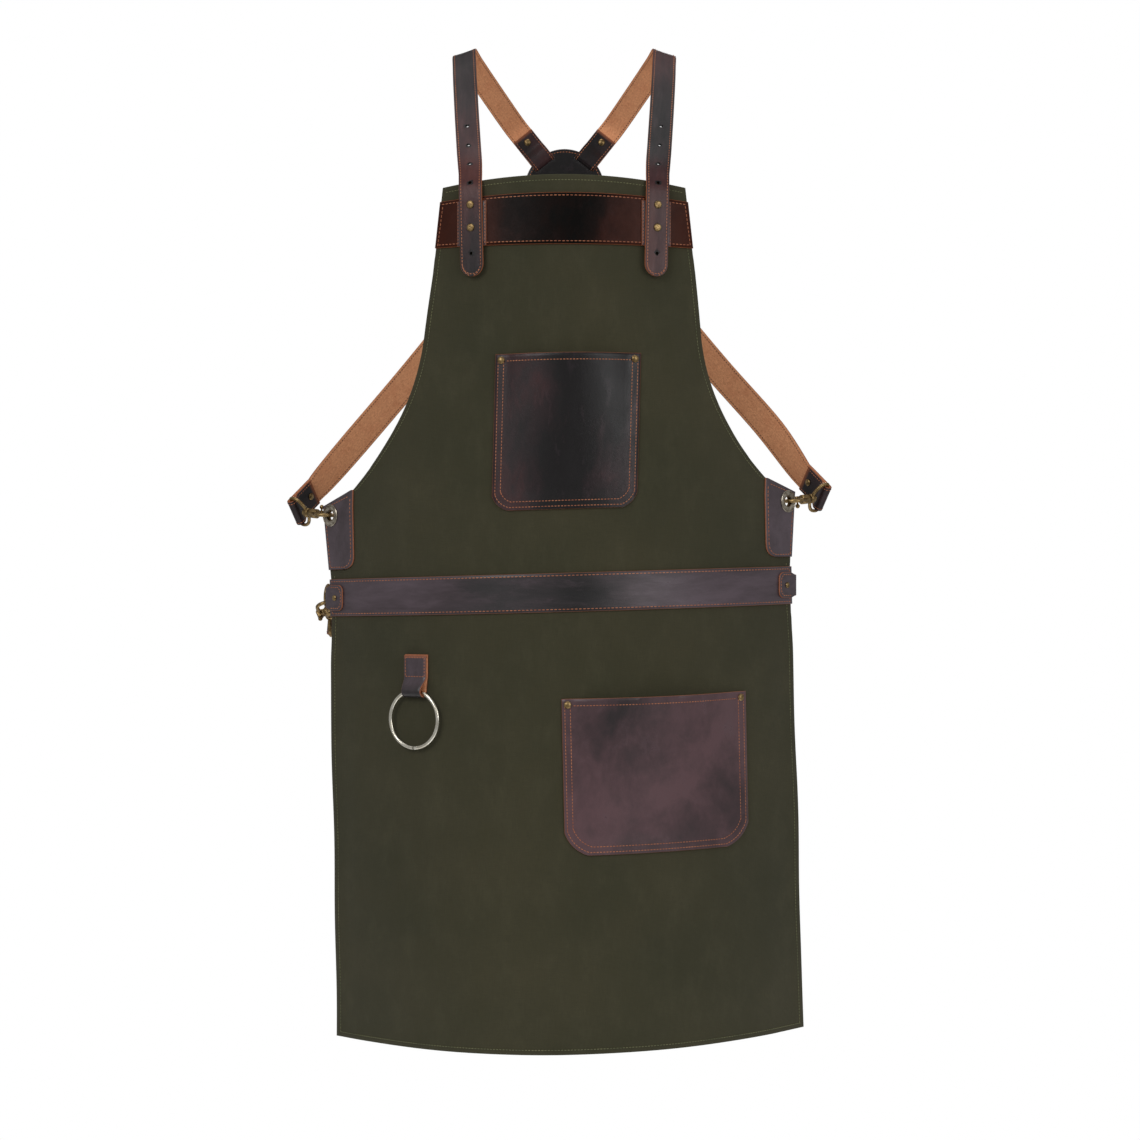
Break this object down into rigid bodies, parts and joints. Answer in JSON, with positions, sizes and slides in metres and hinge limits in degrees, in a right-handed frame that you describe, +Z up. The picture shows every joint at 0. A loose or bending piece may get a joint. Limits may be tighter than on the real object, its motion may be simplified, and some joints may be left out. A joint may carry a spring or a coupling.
{
  "type": "butcher apron",
  "caption": "Full-length canvas apron with leather bands, riveted pockets and a cross-back leather harness that clips to side eyelets and a waist ring.",
  "frame": {"origin": "midway between the two places where the shoulder straps rest on the wearer", "axes": "+Z up, -Y the way the wearer faces, +X the viewer's right when facing the front of the apron"},
  "size_m": [0.5763, 0.2565, 1.0366],
  "materials": {
    "waxed_canvas": "waxed, matt",
    "dark_leather": "waxed, semi-gloss",
    "strap_leather": "dark grain outside, tan flesh inside",
    "brass": "antique",
    "nickel": "polished"
  },
  "bodies": {
    "apron": {"canvas_panel": "waxed_canvas", "chest_band": "dark_leather", "waist_band": "dark_leather", "chest_pocket": "dark_leather", "hip_pocket": "dark_leather", "towel_loop": "dark_leather", "back_plate": "strap_leather", "chest_pocket_rivet_left": "brass", "chest_pocket_rivet_right": "brass", "hip_pocket_rivet_left": "brass", "hip_pocket_rivet_right": "brass", "left_side_patch": "dark_leather", "left_eyelet": "nickel", "left_eyelet_washer": "nickel", "left_shoulder_strap": "strap_leather", "left_strap_anchor_tab": "dark_leather", "left_strap_screw_upper": "brass", "left_strap_screw_lower": "brass", "left_strap_post_upper": "brass", "left_strap_post_lower": "brass", "left_side_strap": "strap_leather", "left_side_strap_rivet": "brass", "left_waist_tab": "dark_leather", "left_waist_tab_rivet": "brass", "right_side_patch": "dark_leather", "right_eyelet": "nickel", "right_eyelet_washer": "nickel", "right_shoulder_strap": "strap_leather", "right_strap_anchor_tab": "dark_leather", "right_strap_screw_upper": "brass", "right_strap_screw_lower": "brass", "right_strap_post_upper": "brass", "right_strap_post_lower": "brass", "right_side_strap": "strap_leather", "right_side_strap_rivet": "brass", "right_waist_tab": "dark_leather", "right_waist_tab_rivet": "brass", "plate_rivet_upper_left": "brass", "plate_rivet_upper_right": "brass", "plate_rivet_lower_left": "brass", "plate_rivet_lower_right": "brass", "rear_waist_strap": "strap_leather", "waist_strap_rivet": "brass"},
    "towel_ring": {"towel_ring": "nickel"},
    "waist_d_ring": {"waist_d_ring": "brass"},
    "left_eye": {"left_hook_eye": "brass"},
    "left_hook": {"left_hook_body": "brass", "left_hook_spring": "nickel"},
    "left_bolt": {"left_hook_bolt": "brass"},
    "right_eye": {"right_hook_eye": "brass"},
    "right_hook": {"right_hook_body": "brass", "right_hook_spring": "nickel"},
    "right_bolt": {"right_hook_bolt": "brass"},
    "waist_eye": {"waist_hook_eye": "brass"},
    "waist_hook": {"waist_hook_body": "brass", "waist_hook_spring": "nickel"},
    "waist_bolt": {"waist_hook_bolt": "brass"}
  },
  "joints": [
    {"name": "towel_ring_swing", "type": "hinge", "parent": "apron", "child": "towel_ring", "pos_m": [-0.15258, -0.08299, -0.66387], "axis": [-0.8557, 0.5175, 0], "range_deg": [-2, 100]},
    {"name": "d_ring_swing", "type": "hinge", "parent": "apron", "child": "waist_d_ring", "pos_m": [-0.24689, 0.00333, -0.57028], "axis": [0, 0, 1], "range_deg": [-2, 1]},
    {"name": "left_eye_pivot", "type": "hinge", "parent": "apron", "child": "left_eye", "pos_m": [-0.28483, 0.03178, -0.4787], "axis": [-0.2975, -0.5291, 0.7947], "range_deg": [-0.5, 1.5]},
    {"name": "left_hook_swivel", "type": "hinge", "parent": "left_eye", "child": "left_hook", "pos_m": [-0.28483, 0.03178, -0.4787], "axis": [0.796, -0.597, -0.0995], "range_deg": [-12, 12]},
    {"name": "left_bolt_slide", "type": "slide", "parent": "left_hook", "child": "left_bolt", "axis": [0.796, -0.597, -0.0995], "range_m": [-0.0044, 0], "stiffness_N_per_m": 200, "springref_m": 0.004, "deforming": ["left_hook_spring"]},
    {"name": "right_eye_pivot", "type": "hinge", "parent": "apron", "child": "right_eye", "pos_m": [0.27316, 0.02002, -0.46405], "axis": [-0.2975, 0.5291, -0.7947], "range_deg": [-0.5, 1.5]},
    {"name": "right_hook_swivel", "type": "hinge", "parent": "right_eye", "child": "right_hook", "pos_m": [0.27316, 0.02002, -0.46405], "axis": [-0.796, -0.597, -0.0995], "range_deg": [-12, 12]},
    {"name": "right_bolt_slide", "type": "slide", "parent": "right_hook", "child": "right_bolt", "axis": [-0.796, -0.597, -0.0995], "range_m": [-0.0044, 0], "stiffness_N_per_m": 200, "springref_m": 0.004, "deforming": ["right_hook_spring"]},
    {"name": "waist_eye_pivot", "type": "hinge", "parent": "apron", "child": "waist_eye", "pos_m": [-0.24905, 0.0571, -0.59585], "axis": [0.0321, 0.4107, 0.9112], "range_deg": [-1, 1]},
    {"name": "waist_hook_swivel", "type": "hinge", "parent": "waist_eye", "child": "waist_hook", "pos_m": [-0.24905, 0.0571, -0.59585], "axis": [-0.0709, -0.9084, 0.412], "range_deg": [-15, 15]},
    {"name": "waist_bolt_slide", "type": "slide", "parent": "waist_hook", "child": "waist_bolt", "axis": [-0.0709, -0.9084, 0.412], "range_m": [-0.0044, 0], "stiffness_N_per_m": 200, "springref_m": 0.004, "deforming": ["waist_hook_spring"]}
  ]
}
